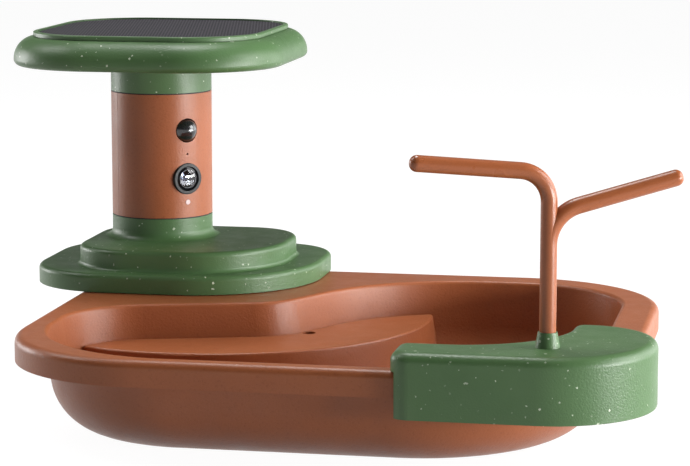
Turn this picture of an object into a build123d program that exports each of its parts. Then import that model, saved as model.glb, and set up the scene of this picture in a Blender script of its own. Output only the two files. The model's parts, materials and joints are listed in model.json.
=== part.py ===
"""Smart bird bath: a shallow basin with a camera tower on one corner and a perch on another.

Lengths are in millimetres and angles in degrees. The origin lies on the ground under the middle of
the basin. +X runs along the basin's long side, -Y is its front and +Z is up.
"""
import os
from math import atan2, cos, isclose, radians, sin, tan

from build123d import *

os.makedirs("parts", exist_ok=True)

# Basin: a rounded rectangle with a turned-down skirt, standing on its flat bottom
basin_length = 388
basin_width = 334
rim_height = 62
rim_front_left_corner = 94
rim_front_right_corner = 62
rim_back_right_corner = 99
tower_corner = 50
basin_wall = 3
skirt_drop = 16
rim_round = 5
opening_round = 2.5

# The opening inside the rim: the rim's width on each side, and each corner's share of its side
band_left = 16.5
band_front = 11.5
band_right = 24
band_back = 24
front_left_sweep_share = 0.63
front_right_sweep_share = 0.3886
back_right_sweep_share = 0.446
tower_corner_sweep = 50
bowl_taper = 9
bowl_round = 33

# The platform for the tower bulges into the opening in an S-bend
bulge_from_left_share = 0.366
bulge_from_back_share = 0.3862
platform_slope = 17
platform_turn = 62
shoulder_round = 55
bulge_round = 40
flank_round_share = 0.722
access_hole_diameter = 36
access_hole_from_left = 72
access_hole_from_back = 87

# Shallow ledge: a drop-in step with a round front edge
ledge_drop = 22
ledge_wall = 3
ledge_front_radius = 146
ledge_centre_from_left = 84.3
ledge_centre_from_back = 56.7
ledge_flange_drop = 12
ledge_edge_round = 1.6
ledge_tip_round = 3
ledge_post_diameter = 8
ledge_post_ring_radius = 141
ledge_posts = 5
ledge_post_first_angle = -90
ledge_post_span_angle = 78
ledge_notch_diameter = 9
ledge_notch_from_bulge_x = 17
ledge_notch_from_bulge_y = 10
body_gap = 0.3

# Perch holder: a hollow saddle clip over the front right corner of the rim
holder_outside_front = 7
holder_outside_right = 12.5
holder_along_front = 149.5
holder_along_right = 113
holder_rise = 12
holder_wall = 3.5
holder_apron_from_rim = 3
holder_apron_drop = 27
holder_reach_front = 30
holder_reach_right = 42
holder_front_sweep = 64
holder_inner_sweep = 67
holder_end_sweep = 44
holder_front_round = 12
holder_end_round = 8
holder_edge_round = 6
holder_rib = 3
seat_rib_from_rim = 8
hook_from_opening = 2
hook_drop = 8
collar_from_right = 49
collar_from_front = 28
collar_diameter = 11.4
collar_base_diameter = 14.6
collar_height = 9
collar_boss_diameter = 16

# Perch: one forked rod that stands in the collar
perch_diameter = 9.8
spigot_diameter = 7.6
spigot_length = 17
running_gap = 0.05
perch_heading = 22
perch_top = 175.8
fork_height = 151.9
fork_root = 128
left_arm_reach = 82.3
left_arm_rise = 7.5
right_arm_reach = 79.9
right_arm_rise = 19.9
left_bend = 18.6
right_bend = 23.5
perch_tip_round = 4.5

# Tower axis, and the two-tier foot measured from that axis
tower_from_left = 35
tower_from_back = 27
foot_gap = 0.5
foot_left = 76.2
foot_right = 115.7
foot_front = 93
foot_back = 65
lower_tier = 12.5
upper_tier = 14
step_left = 29.5
step_right = 22
step_front = 13
step_back = 20.5
foot_sweeps = (55, 85, 45, 60)
tier_sweeps = (40, 64, 38, 40)
foot_wall = 3
tier_edge_round = 3.4
tier_root_round = 2.6
neck_flare = 5.8
foot_plate_thickness = 2.5
plate_gap = 0.2
peg_diameter = 10
peg_gap = 0.3
peg_length = 8
pad_diameter = 14
pad_thickness = 1.5
pad_from_left = 17
pad_from_back = 19
pad_front_share = 0.7
pad_back_share = 0.306
pad_right_share = 0.83
pad_right_back_share = 0.376
pad_mid_share = 0.256
pad_mid_front_share = 0.84

# Column: two half sleeves between two dark seam rings
column_diameter = 70
column_wall = 3
lower_neck_height = 15
upper_neck_height = 20.3
seam_height = 0.8
seam_inset = 0.7
seam_lip = 4
sleeve_gap = 0.3
lens_heading = -45
shoulder_inner_radius = 24
shoulder_depth = 8
disc_thickness = 4
disc_gap = 0.25
disc_seat_below_seam = 9

# Features on the column's face, each by its distance from the one below
light_above_seam = 11.5
light_to_bezel = 2
bezel_to_mic = 2.1
mic_to_dome = 3.9
dome_to_seam = 15.8
bezel_diameter = 21.6
bezel_proud = 0.7
bezel_flange_diameter = 25
window_diameter = 17
window_thickness = 1.5
barrel_diameter = 14
dome_diameter = 16.6
dome_proud = 4.6
dome_flange_diameter = 20
dome_wall = 1.2
mic_hole_diameter = 1.6
light_diameter = 3.4
cut_gap = 0.1

# Inner frame and boards, by distance from the column's axis towards the lens
plate_front = 1
plate_back = -2
plate_width = 48
board_thickness = 1.6
front_board_at = 7
front_board_width = 40
front_board_below_seam = 9
main_board_at = -8
main_board_width = 44
main_board_below_seam = 7
boards_above_seam = 4
post_diameter = 5
post_inset = 4
chip_share = 0.42
chip_height = 1.2
wire_hole_diameter = 12
wire_hole_ring_radius = 16
antenna_length = 30
antenna_width = 8
antenna_thickness = 0.8

# Camera, movement sensor, microphone and light, from the front board outwards
image_sensor_width = 8
image_sensor_height = 1.2
barrel_base_diameter = 17
barrel_base_length = 5.4
barrel_length = 21.4
barrel_cavity_diameter = 12
barrel_cavity_depth = 2.4
barrel_bore_back = 5
barrel_bore_front = 11
element_diameter = 12
element_seat_depth = 6
element_length = 3.6
element_rise = 1.8
bezel_back = 26
bezel_flange_lift = 1
bezel_flange = 1.8
bezel_round = 0.6
window_recess = 1
window_rise = 1.8
dome_flange_back = 27.5
dome_flange = 1.8
dome_cap_base = 33
riser_diameter = 8.5
riser_height = 4
can_diameter = 9.2
can_height = 4.5
mic_width = 4
mic_thickness = 1
mic_boot_diameter = 5
mic_boot_end = 31.3
status_led_width = 3
status_led_thickness = 1
light_pipe_gap = 0.2
light_proud = 0.25

# Screws, all with the same fit in their holes
screw_head_share = 2
small_screw_diameter = 2.2
small_screw_head = 1.5
plate_screw_diameter = 3
plate_screw_head = 2
screw_gap = 0.05
foot_screw_inset = 9
foot_boss_diameter = 8
foot_screw_length = 6.5
column_screw_ring_radius = 27.8
column_screws_each = 3
column_screw_angle = 15
column_screw_length = 11
neck_screw_length = 14
board_screw_length = 5.6

# Battery, charging socket and power button in the foot
cell_diameter = 18.3
cell_length = 65
cell_pitch = 19.5
cells_from_axis_x = 26
cells_from_axis_y = -36
tray_wall = 1.5
tray_height = 12
socket_from_axis = 52
socket_width = 9
socket_height = 3.2
socket_depth = 7.3
button_from_axis = -8
button_diameter = 5
button_flange_diameter = 6.2
button_flange = 1.5
button_proud = 1
button_travel = 0.8
cover_drop = 6.6
cover_round = 0.6
cover_pin_diameter = 1.5
cover_knuckle_diameter = 3
cover_ear = 1.6
cover_pin_length = 15
cover_pin_below_tier = 2
board_lift = 1.5
charge_board_width = 18
charge_board_depth = 20
socket_recess = 3
socket_wall = 0.35
socket_round_share = 0.45

# Roof: a rounded slab on the upper neck, with a lipped lid that holds the solar panel
roof_length = 187
roof_width = 204
roof_from_axis = 1.6
roof_sweep = 66
roof_shell_height = 19.8
roof_wall = 3
roof_lower_round = 4.2
roof_upper_round = 15.4
lid_from_edge = 13.5
lid_reveal = 0.8
lid_reveal_height = 0.6
lid_lip_width = 3.2
lid_lip_height = 2.6
lid_seat_height = 1
lid_plate = 2.3
lid_edge_round = 1
lid_spigot_from_lip = 9
lid_spigot_wall = 2.4
lid_spigot_drop = 3
panel_thickness = 1.2
panel_gap = 0.3
lid_screw_x = 56
lid_screw_y = 63
lid_post_diameter = 7
lid_boss_height = 2.5
lid_screw_length = 15
gasket_from_lip = 5
gasket_width = 2
gasket_depth = 1
overrun = 1

# Places worked out from the sizes
basin_left = -basin_length / 2
basin_right = basin_length / 2
basin_front = -basin_width / 2
basin_back = basin_width / 2
opening_left = basin_left + band_left
opening_right = basin_right - band_right
opening_front = basin_front + band_front
opening_back = basin_back - band_back
bulge_x = basin_left + basin_length * bulge_from_left_share
bulge_y = basin_back - basin_width * bulge_from_back_share
shoulder_y = bulge_y - (bulge_x - opening_left) * tan(radians(platform_slope))
flank_x = bulge_x + (opening_back - bulge_y) / tan(radians(platform_turn))
front_left_sweep = (shoulder_y - opening_front) * front_left_sweep_share
front_right_sweep = (opening_back - opening_front) * front_right_sweep_share
back_right_sweep = (opening_right - flank_x) * back_right_sweep_share
flank_round = (opening_right - flank_x) * flank_round_share
collar_x = basin_right - collar_from_right
collar_y = basin_front + collar_from_front
tower_x = basin_left + tower_from_left
tower_y = basin_back - tower_from_back
flange_under = rim_height - basin_wall
ledge_top = rim_height - ledge_drop
ledge_x = basin_left + ledge_centre_from_left
ledge_y = basin_back - ledge_centre_from_back
foot_bottom = rim_height + foot_gap
lower_tier_top = foot_bottom + lower_tier
upper_tier_top = lower_tier_top + upper_tier
foot_floor = foot_bottom + foot_plate_thickness
column_radius = column_diameter / 2
bore_radius = column_radius - column_wall
lower_seam = upper_tier_top + lower_neck_height
light_height = lower_seam + light_above_seam
lens_height = light_height + light_diameter / 2 + light_to_bezel + bezel_flange_diameter / 2
mic_height = lens_height + bezel_flange_diameter / 2 + bezel_to_mic + mic_boot_diameter / 2
sensor_height = mic_height + mic_boot_diameter / 2 + mic_to_dome + dome_flange_diameter / 2
upper_seam = sensor_height + dome_flange_diameter / 2 + dome_to_seam
roof_underside = upper_seam + upper_neck_height
boards_bottom = lower_seam + boards_above_seam
front_board_height = upper_seam - front_board_below_seam - boards_bottom
main_board_height = upper_seam - main_board_below_seam - boards_bottom
lower_disc = lower_seam - disc_seat_below_seam
upper_disc = upper_seam + disc_seat_below_seam - disc_thickness
roof_top = roof_underside + roof_shell_height
foot_mid_x = tower_x + (foot_right - foot_left) / 2
foot_mid_y = tower_y + (foot_back - foot_front) / 2
foot_back_y = tower_y + foot_back


def rounded_outline(left, right, front, back, sweeps):
    """A rectangle with its own sweep at the front left, front right, back right and back left."""
    with BuildSketch() as outline:
        with BuildLine():
            FilletPolyline(
                (left, front), (right, front), (right, back), (left, back), radius=sweeps, close=True
            )
        make_face()
    return outline.sketch


def rim_outline(grow):
    """The basin seen from above, grown outwards."""
    return rounded_outline(
        basin_left - grow,
        basin_right + grow,
        basin_front - grow,
        basin_back + grow,
        (
            rim_front_left_corner + grow,
            rim_front_right_corner + grow,
            rim_back_right_corner + grow,
            tower_corner + grow,
        ),
    )


def plain_opening(inset):
    """The bowl's plan at the rim without the platform's bulge."""
    return rounded_outline(
        opening_left + inset,
        opening_right - inset,
        opening_front + inset,
        opening_back - inset,
        (
            front_left_sweep - inset,
            front_right_sweep - inset,
            back_right_sweep - inset,
            tower_corner_sweep - inset,
        ),
    )


def opening_outline(inset):
    """The opening at the rim, with the S-bend round the platform, drawn in by inset."""
    with BuildSketch() as outline:
        with BuildLine():
            FilletPolyline(
                (opening_left, opening_front),
                (opening_right, opening_front),
                (opening_right, opening_back),
                (flank_x, opening_back),
                (bulge_x, bulge_y),
                (opening_left, shoulder_y),
                radius=(
                    front_left_sweep,
                    front_right_sweep,
                    back_right_sweep,
                    flank_round,
                    bulge_round,
                    shoulder_round,
                ),
                close=True,
            )
        make_face()
        if inset:
            offset(amount=-inset)
    return outline.sketch


def bowl_form(outline, bottom, bottom_round):
    """A bowl that tapers in from the rim to a flat bottom with a swept lower edge."""
    with BuildPart() as form:
        with BuildSketch(Plane.XY.offset(rim_height)):
            add(outline)
        extrude(amount=bottom - rim_height, taper=bowl_taper)
        fillet(form.edges().group_by(Axis.Z)[0], bottom_round)
    return form.part


def ledge_form(inset, bottom, top):
    """The round-fronted cone that bounds the ledge, drawn in by inset."""
    widening = tan(radians(bowl_taper))
    with BuildPart() as form:
        with Locations((ledge_x, ledge_y, (bottom + top) / 2)):
            Cone(
                ledge_front_radius - inset + (ledge_top - bottom) * widening,
                ledge_front_radius - inset + (ledge_top - top) * widening,
                top - bottom,
            )
    return form.part


def holder_outline(inset):
    """The saddle clip seen from above."""
    outer_front = basin_front - holder_outside_front
    outer_right = basin_right + holder_outside_right
    inner_front = basin_front + holder_reach_front
    inner_right = basin_right - holder_reach_right
    left_end = outer_right - holder_along_front
    back_end = outer_front + holder_along_right
    with BuildSketch() as outline:
        with BuildLine():
            FilletPolyline(
                (left_end, outer_front),
                (outer_right, outer_front),
                (outer_right, back_end),
                (inner_right, back_end),
                (inner_right, inner_front),
                (left_end, inner_front),
                radius=(
                    holder_front_round,
                    holder_front_sweep,
                    holder_end_sweep,
                    holder_end_round,
                    holder_inner_sweep,
                    holder_end_round,
                ),
                close=True,
            )
        make_face()
        if inset:
            offset(amount=-inset)
    return outline.sketch


def foot_outline(inset):
    """The lower tier of the foot seen from above."""
    return rounded_outline(
        tower_x - foot_left + inset,
        tower_x + foot_right - inset,
        tower_y - foot_front + inset,
        tower_y + foot_back - inset,
        tuple(sweep - inset for sweep in foot_sweeps),
    )


def tier_outline(inset):
    """The upper tier of the foot seen from above."""
    return rounded_outline(
        tower_x - foot_left + step_left + inset,
        tower_x + foot_right - step_right - inset,
        tower_y - foot_front + step_front + inset,
        tower_y + foot_back - step_back - inset,
        tuple(sweep - inset for sweep in tier_sweeps),
    )


def tower_plane(height):
    """A level plane at a height, centred on the column's axis."""
    return Plane((tower_x, tower_y, height))


def roof_plane(height):
    """A level plane at a height, centred on the roof."""
    return Plane((tower_x + roof_from_axis, tower_y, height))


def face_plane(height, out, way=1):
    """A plane at a distance out towards the lens, facing the lens's way or the opposite one."""
    heading = radians(lens_heading)
    return Plane(
        origin=(tower_x + out * cos(heading), tower_y + out * sin(heading), height),
        x_dir=(-way * sin(heading), way * cos(heading), 0),
        z_dir=(way * cos(heading), way * sin(heading), 0),
    )


def half_sleeve(side):
    """Half of the column's sleeve, on the lens's side or the other one."""
    heading = radians(lens_heading)
    level = Plane((tower_x, tower_y, lower_seam + seam_height), x_dir=(cos(heading), sin(heading), 0))
    with BuildPart() as form:
        with BuildSketch(level):
            Circle(column_radius)
            Circle(bore_radius, mode=Mode.SUBTRACT)
            with Locations((-side * (column_radius - sleeve_gap / 2), 0)):
                Rectangle(column_diameter, column_diameter + sleeve_gap, mode=Mode.SUBTRACT)
        extrude(amount=upper_seam - lower_seam - 2 * seam_height)
    return form.part


def board_corners(plane, width, height):
    """The planes of a board's four screws on its outer face."""
    across = width / 2 - post_inset
    along = height / 2 - post_inset
    return [
        Plane(plane.from_local_coords((x, y, 0)), x_dir=plane.x_dir, z_dir=plane.z_dir)
        for x in (-across, across)
        for y in (-along, along)
    ]


def domed_rod(plane, radius, length, rise):
    """A round rod along the plane's normal that ends in a dome."""
    bend = (radius**2 + rise**2) / (2 * rise)
    centre = length + rise - bend
    half = atan2(radius, length - centre) / 2
    with BuildPart() as form:
        with BuildSketch(Plane(plane.origin, x_dir=plane.z_dir, z_dir=plane.x_dir)):
            with BuildLine():
                Polyline((length + rise, 0), (0, 0), (0, radius), (length, radius))
                ThreePointArc(
                    (length, radius),
                    (centre + bend * cos(half), bend * sin(half)),
                    (length + rise, 0),
                )
            make_face()
        revolve(axis=Axis(plane.origin, plane.z_dir))
    return form.part


def roof_form(inset):
    """The roof's slab with a small lower round and a large upper one, drawn in by inset."""
    with BuildPart() as form:
        with BuildSketch(roof_plane(roof_underside + inset)):
            RectangleRounded(roof_length - 2 * inset, roof_width - 2 * inset, roof_sweep - inset)
        extrude(amount=roof_shell_height - 2 * inset)
        fillet(form.edges().group_by(Axis.Z)[0], roof_lower_round - inset)
        fillet(form.edges().group_by(Axis.Z)[-1], roof_upper_round - inset)
    return form.part


def lid_outline(inset):
    """The lid's lip seen from above, about the roof's middle."""
    edge = lid_from_edge + inset
    with BuildSketch() as outline:
        RectangleRounded(roof_length - 2 * edge, roof_width - 2 * edge, roof_sweep - edge)
    return outline.sketch


def screw(plane, diameter, head, length):
    """A screw whose head stands on the plane and whose shank runs back through it."""
    with BuildPart() as form:
        with BuildSketch(plane):
            Circle(diameter * screw_head_share / 2)
        extrude(amount=head)
        with BuildSketch(plane):
            Circle(diameter / 2)
        extrude(amount=-length)
        with BuildSketch(plane.offset(head)):
            RegularPolygon(radius=diameter / 2, side_count=6)
        extrude(amount=-head / 2, mode=Mode.SUBTRACT)
    return form.part


def level_face(piece, height):
    """The level face of a piece at a height."""
    flats = piece.faces().filter_by(Plane.XY)
    return flats.filter_by(lambda face: isclose(face.center().Z, height))[0]


def write(piece, name):
    """Label a finished piece and write its file."""
    piece.part.label = name
    export_step(piece.part, f"parts/{name}.step")


def write_group(solids, name):
    """Label like fasteners as one group of separate solids and write their file."""
    group = Compound(children=solids, label=name)
    export_step(group, f"parts/{name}.step")


# Basin shell: flange and skirt, the bowl's wall, and the hollow under the platform
bowl_outside = bowl_form(plain_opening(-basin_wall), 0, bowl_round + basin_wall)
bowl_plain_inside = bowl_form(plain_opening(0), basin_wall, bowl_round)
bowl_inside = bowl_form(opening_outline(0), basin_wall, bowl_round)
bowl_bulge_wall = bowl_form(opening_outline(-basin_wall), basin_wall, bowl_round)

with BuildPart() as platform_hollow:
    add(bowl_plain_inside)
    with BuildSketch(Plane.XY.offset(flange_under)):
        add(rim_outline(overrun))
    extrude(amount=basin_wall + overrun, mode=Mode.SUBTRACT)
    add(bowl_bulge_wall, mode=Mode.SUBTRACT)

pad_places = [
    (basin_left + pad_from_left, tower_y - foot_front * pad_front_share),
    (basin_left + pad_from_left + pad_diameter / 2, tower_y),
    (basin_left + basin_length * pad_back_share, basin_back - pad_from_back),
    (tower_x + foot_right * pad_right_share, tower_y - foot_front * pad_right_back_share),
    (tower_x + foot_right * pad_mid_share, tower_y - foot_front * pad_mid_front_share),
]
peg_places = [
    (tower_x + foot_left / 8, tower_y - foot_front / 2),
    (tower_x + foot_right / 2 + peg_diameter, tower_y - foot_back / 4),
]

with BuildPart() as basin_shell:
    with BuildSketch(Plane.XY.offset(rim_height)):
        add(rim_outline(0))
    extrude(amount=-skirt_drop)
    fillet(basin_shell.edges().group_by(Axis.Z)[-1], rim_round)
    with BuildSketch(Plane.XY.offset(rim_height - skirt_drop)):
        add(rim_outline(-basin_wall))
    extrude(amount=skirt_drop - basin_wall, mode=Mode.SUBTRACT)
    add(bowl_outside)
    add(bowl_inside, mode=Mode.SUBTRACT)
    fillet(level_face(basin_shell, rim_height).inner_wires()[0].edges(), opening_round)
    add(platform_hollow.part, mode=Mode.SUBTRACT)
    with BuildSketch():
        with Locations((basin_left + access_hole_from_left, basin_back - access_hole_from_back)):
            Circle(access_hole_diameter / 2)
    extrude(amount=basin_wall, mode=Mode.SUBTRACT)
    with BuildSketch(Plane.XY.offset(rim_height)):
        with Locations(*peg_places):
            Circle(peg_diameter / 2 + peg_gap)
    extrude(amount=-basin_wall, mode=Mode.SUBTRACT)
write(basin_shell, "basin_shell")

# Shallow ledge: a top plate, a round front wall and a short flange along the bowl's wall, on posts
bowl_clear = bowl_form(opening_outline(body_gap), basin_wall, bowl_round)
bowl_flange_inside = bowl_form(opening_outline(body_gap + ledge_wall), basin_wall, bowl_round)
flange_bottom = ledge_top - ledge_flange_drop

with BuildPart() as flange_hollow:
    add(ledge_form(ledge_wall, flange_bottom, ledge_top - ledge_wall))
    add(bowl_flange_inside, mode=Mode.INTERSECT)

with BuildPart() as ledge_legs:
    with BuildSketch(Plane((ledge_x, ledge_y, 0))):
        with PolarLocations(
            ledge_post_ring_radius,
            ledge_posts,
            ledge_post_first_angle,
            ledge_post_span_angle,
            endpoint=True,
        ):
            Circle(ledge_post_diameter / 2)
    extrude(amount=ledge_top)

with BuildPart() as shallow_ledge:
    add(bowl_clear)
    add(ledge_form(0, 0, ledge_top), mode=Mode.INTERSECT)
    tall = shallow_ledge.edges().filter_by(lambda edge: edge.bounding_box().size.Z > ledge_drop / 2)
    tips = tall.filter_by(lambda edge: edge.geom_type not in (GeomType.LINE, GeomType.CIRCLE))
    fillet(tips, ledge_tip_round)
    fillet(level_face(shallow_ledge, ledge_top).edges(), ledge_edge_round)
    add(ledge_form(ledge_wall, 0, flange_bottom) - ledge_legs.part, mode=Mode.SUBTRACT)
    add(flange_hollow.part - ledge_legs.part, mode=Mode.SUBTRACT)
    with BuildSketch(Plane.XY.offset(ledge_top)):
        with Locations((bulge_x + ledge_notch_from_bulge_x, bulge_y + ledge_notch_from_bulge_y)):
            Circle(ledge_notch_diameter / 2)
    extrude(amount=-ledge_flange_drop, mode=Mode.SUBTRACT)
write(shallow_ledge, "shallow_ledge")

# Perch holder: hollow top with a collar for the perch, an apron outside the rim and a hook inside it
holder_top = rim_height + holder_rise
holder_ceiling = holder_top - holder_wall
collar_top = holder_top + collar_height
socket_depth_below = spigot_length + body_gap

with BuildPart() as perch_holder:
    with BuildSketch(Plane.XY.offset(rim_height)):
        add(holder_outline(0))
    extrude(amount=holder_rise)
    fillet(level_face(perch_holder, holder_top).edges(), holder_edge_round)
    with BuildSketch(Plane.XY.offset(rim_height)):
        add(holder_outline(holder_wall))
    extrude(amount=holder_ceiling - rim_height, mode=Mode.SUBTRACT)
    with BuildSketch(Plane.XY.offset(rim_height)):
        add(holder_outline(0))
        add(rim_outline(holder_apron_from_rim), mode=Mode.SUBTRACT)
    extrude(amount=-holder_apron_drop)
    with BuildSketch(Plane.XY.offset(holder_ceiling)):
        add(rim_outline(-seat_rib_from_rim))
        add(rim_outline(-seat_rib_from_rim - holder_rib), mode=Mode.SUBTRACT)
        add(holder_outline(holder_wall), mode=Mode.INTERSECT)
    extrude(amount=rim_height - holder_ceiling)
    with BuildSketch(Plane.XY.offset(holder_ceiling)):
        add(opening_outline(hook_from_opening))
        add(opening_outline(hook_from_opening + holder_rib), mode=Mode.SUBTRACT)
        add(holder_outline(holder_wall / 2), mode=Mode.INTERSECT)
    extrude(amount=rim_height - hook_drop - holder_ceiling)
    with Locations((collar_x, collar_y, holder_top + collar_height / 2)):
        Cone(collar_base_diameter / 2, collar_diameter / 2, collar_height)
    with BuildSketch(Plane((collar_x, collar_y, holder_ceiling))):
        Circle(collar_boss_diameter / 2)
    extrude(amount=rim_height - holder_ceiling)
    with BuildSketch(Plane((collar_x, collar_y, collar_top))):
        Circle(spigot_diameter / 2 + running_gap)
    extrude(amount=-socket_depth_below, mode=Mode.SUBTRACT)
write(perch_holder, "perch_holder")

with BuildPart() as holder_liner:
    with BuildSketch(Plane.XY.offset(rim_height - body_gap)):
        add(rim_outline(holder_apron_from_rim))
        add(rim_outline(body_gap), mode=Mode.SUBTRACT)
        add(holder_outline(holder_rib), mode=Mode.INTERSECT)
    extrude(amount=-skirt_drop)
write(holder_liner, "holder_liner")

# Perch: the stem bends into the left arm, and the fork leaves it below for the right arm
perch_turn = radians(perch_heading)
perch_way = Vector(cos(perch_turn), sin(perch_turn), 0)
stem_foot = Vector(collar_x, collar_y, collar_top)
stem_bend = Vector(collar_x, collar_y, perch_top)
left_tip = stem_bend - perch_way * left_arm_reach + Vector(0, 0, left_arm_rise)
fork_foot = Vector(collar_x, collar_y, fork_root)
fork_bend = Vector(collar_x, collar_y, fork_height)
right_tip = fork_bend + perch_way * right_arm_reach + Vector(0, 0, right_arm_rise)

with BuildPart() as perch:
    with BuildLine():
        FilletPolyline(stem_foot, stem_bend, left_tip, radius=left_bend)
    with BuildSketch(Plane(stem_foot)):
        Circle(perch_diameter / 2)
    sweep()
    with BuildLine():
        FilletPolyline(fork_foot, fork_bend, right_tip, radius=right_bend)
    with BuildSketch(Plane(fork_foot)):
        Circle(perch_diameter / 2)
    sweep()
    rings = perch.edges().filter_by(GeomType.CIRCLE)
    fillet([rings.sort_by_distance(tip)[0] for tip in (left_tip, right_tip)], perch_tip_round)
    with BuildSketch(Plane(stem_foot)):
        Circle(spigot_diameter / 2)
    extrude(amount=-spigot_length)
write(perch, "perch")

# Tower foot: two tiers and the lower neck, hollow from below
lower_ceiling = lower_tier_top - foot_wall
upper_ceiling = upper_tier_top - foot_wall
board_level = foot_floor + board_lift
board_top = board_level + board_thickness
socket_level = board_top + socket_height / 2
button_level = (foot_floor + lower_ceiling) / 2
socket_x = tower_x + socket_from_axis
button_x = tower_x + button_from_axis
cover_pin_y = foot_back_y + cover_knuckle_diameter / 2 + body_gap
cover_pin_level = lower_tier_top - cover_pin_below_tier
charge_board_y = foot_back_y - foot_wall - charge_board_depth / 2
foot_screw_places = [
    (tower_x - foot_left + foot_screw_inset, foot_mid_y),
    (tower_x + foot_right - foot_screw_inset, foot_mid_y),
    (foot_mid_x, tower_y - foot_front + foot_screw_inset),
    (foot_mid_x, foot_back_y - foot_screw_inset),
]

with BuildPart() as tower_foot:
    with BuildSketch(Plane.XY.offset(foot_bottom)):
        add(foot_outline(0))
    extrude(amount=lower_tier)
    with BuildSketch(Plane.XY.offset(lower_tier_top)):
        add(tier_outline(0))
    extrude(amount=upper_tier)
    with BuildSketch(tower_plane(upper_tier_top)):
        Circle(column_radius)
    extrude(amount=lower_seam - upper_tier_top)
    fillet(level_face(tower_foot, upper_tier_top).inner_wires()[0].edges(), neck_flare)
    fillet(level_face(tower_foot, upper_tier_top).outer_wire().edges(), tier_edge_round)
    fillet(level_face(tower_foot, lower_tier_top).inner_wires()[0].edges(), tier_root_round)
    fillet(level_face(tower_foot, lower_tier_top).outer_wire().edges(), tier_edge_round)
    with BuildSketch(Plane.XY.offset(foot_bottom)):
        add(foot_outline(foot_wall))
    extrude(amount=lower_ceiling - foot_bottom, mode=Mode.SUBTRACT)
    with BuildSketch(Plane.XY.offset(foot_bottom)):
        add(tier_outline(foot_wall))
    extrude(amount=upper_ceiling - foot_bottom, mode=Mode.SUBTRACT)
    with BuildSketch(tower_plane(upper_ceiling)):
        Circle(shoulder_inner_radius)
    extrude(amount=lower_seam - upper_ceiling, mode=Mode.SUBTRACT)
    with BuildSketch(tower_plane(lower_disc)):
        Circle(bore_radius)
    extrude(amount=lower_seam - lower_disc, mode=Mode.SUBTRACT)
    with BuildSketch(Plane.XY.offset(foot_floor)):
        with Locations(*foot_screw_places):
            Circle(foot_boss_diameter / 2)
    extrude(amount=lower_ceiling - foot_floor)
    with BuildSketch(Plane.XY.offset(foot_floor)):
        with Locations(*foot_screw_places):
            Circle(small_screw_diameter / 2 + screw_gap)
    extrude(amount=lower_ceiling - foot_floor, mode=Mode.SUBTRACT)
    with BuildSketch(tower_plane(lower_disc)):
        with PolarLocations(column_screw_ring_radius, column_screws_each, column_screw_angle):
            Circle(small_screw_diameter / 2 + screw_gap)
    extrude(amount=-shoulder_depth, mode=Mode.SUBTRACT)
    with BuildSketch(Plane.XZ.offset(-foot_back_y)):
        with Locations((socket_x, socket_level)):
            Rectangle(socket_width + 2 * plate_gap, socket_height + 2 * plate_gap)
        with Locations((button_x, button_level)):
            Circle(button_diameter / 2 + plate_gap)
    extrude(amount=foot_wall, mode=Mode.SUBTRACT)
    with BuildSketch(Plane.XZ.offset(-cover_pin_y - cover_knuckle_diameter / 2)):
        with Locations((socket_x, cover_pin_level)):
            with GridLocations(cover_pin_length - cover_ear, 0, 2, 1):
                Rectangle(cover_ear, cover_knuckle_diameter)
    extrude(amount=cover_knuckle_diameter + foot_wall / 2)
    with BuildSketch(Plane.YZ.offset(socket_x)):
        with Locations((cover_pin_y, cover_pin_level)):
            Circle(cover_pin_diameter / 2)
    extrude(amount=cover_pin_length / 2, both=True, mode=Mode.SUBTRACT)
write(tower_foot, "tower_foot")

# Foot plate: closes the foot from below, with two pegs for the platform and seats for the pads
with BuildPart() as foot_plate:
    with BuildSketch(Plane.XY.offset(foot_bottom)):
        add(foot_outline(foot_wall + plate_gap))
    extrude(amount=foot_plate_thickness)
    with BuildSketch(Plane.XY.offset(foot_bottom)):
        with Locations(*peg_places):
            Circle(peg_diameter / 2)
    extrude(amount=-peg_length)
    fillet(foot_plate.edges().group_by(Axis.Z)[0], peg_gap * 3)
    with BuildSketch(Plane.XY.offset(foot_bottom)):
        with Locations(*pad_places):
            Circle(pad_diameter / 2)
    extrude(amount=pad_thickness - foot_gap, mode=Mode.SUBTRACT)
    with BuildSketch(Plane.XY.offset(foot_bottom)):
        with Locations(*foot_screw_places):
            Circle(small_screw_diameter * screw_head_share / 2 + plate_gap)
    extrude(amount=small_screw_head + screw_gap, mode=Mode.SUBTRACT)
    with BuildSketch(Plane.XY.offset(foot_bottom)):
        with Locations(*foot_screw_places):
            Circle(small_screw_diameter / 2 + screw_gap)
    extrude(amount=foot_plate_thickness, mode=Mode.SUBTRACT)
    with BuildSketch(Plane.XY.offset(foot_floor)):
        with Locations((socket_x, charge_board_y)):
            with GridLocations(socket_width, charge_board_depth / 2, 2, 2):
                Circle(post_diameter / 2)
    extrude(amount=board_lift)
write(foot_plate, "foot_plate")

# Pads under the foot plate, flush in their seats and standing on the platform
with BuildPart() as foot_pads:
    with BuildSketch(Plane.XY.offset(rim_height)):
        with Locations(*pad_places):
            Circle(pad_diameter / 2)
    extrude(amount=pad_thickness)
write(foot_pads, "foot_pads")

# Screws that hold the foot plate, driven up from below
screw_seat = foot_bottom + small_screw_head + screw_gap
foot_screws = [
    screw(
        Plane((x, y, screw_seat), z_dir=(0, 0, -1)),
        small_screw_diameter,
        small_screw_head,
        foot_screw_length,
    )
    for x, y in foot_screw_places
]
write_group(foot_screws, "foot_screws")

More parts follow.
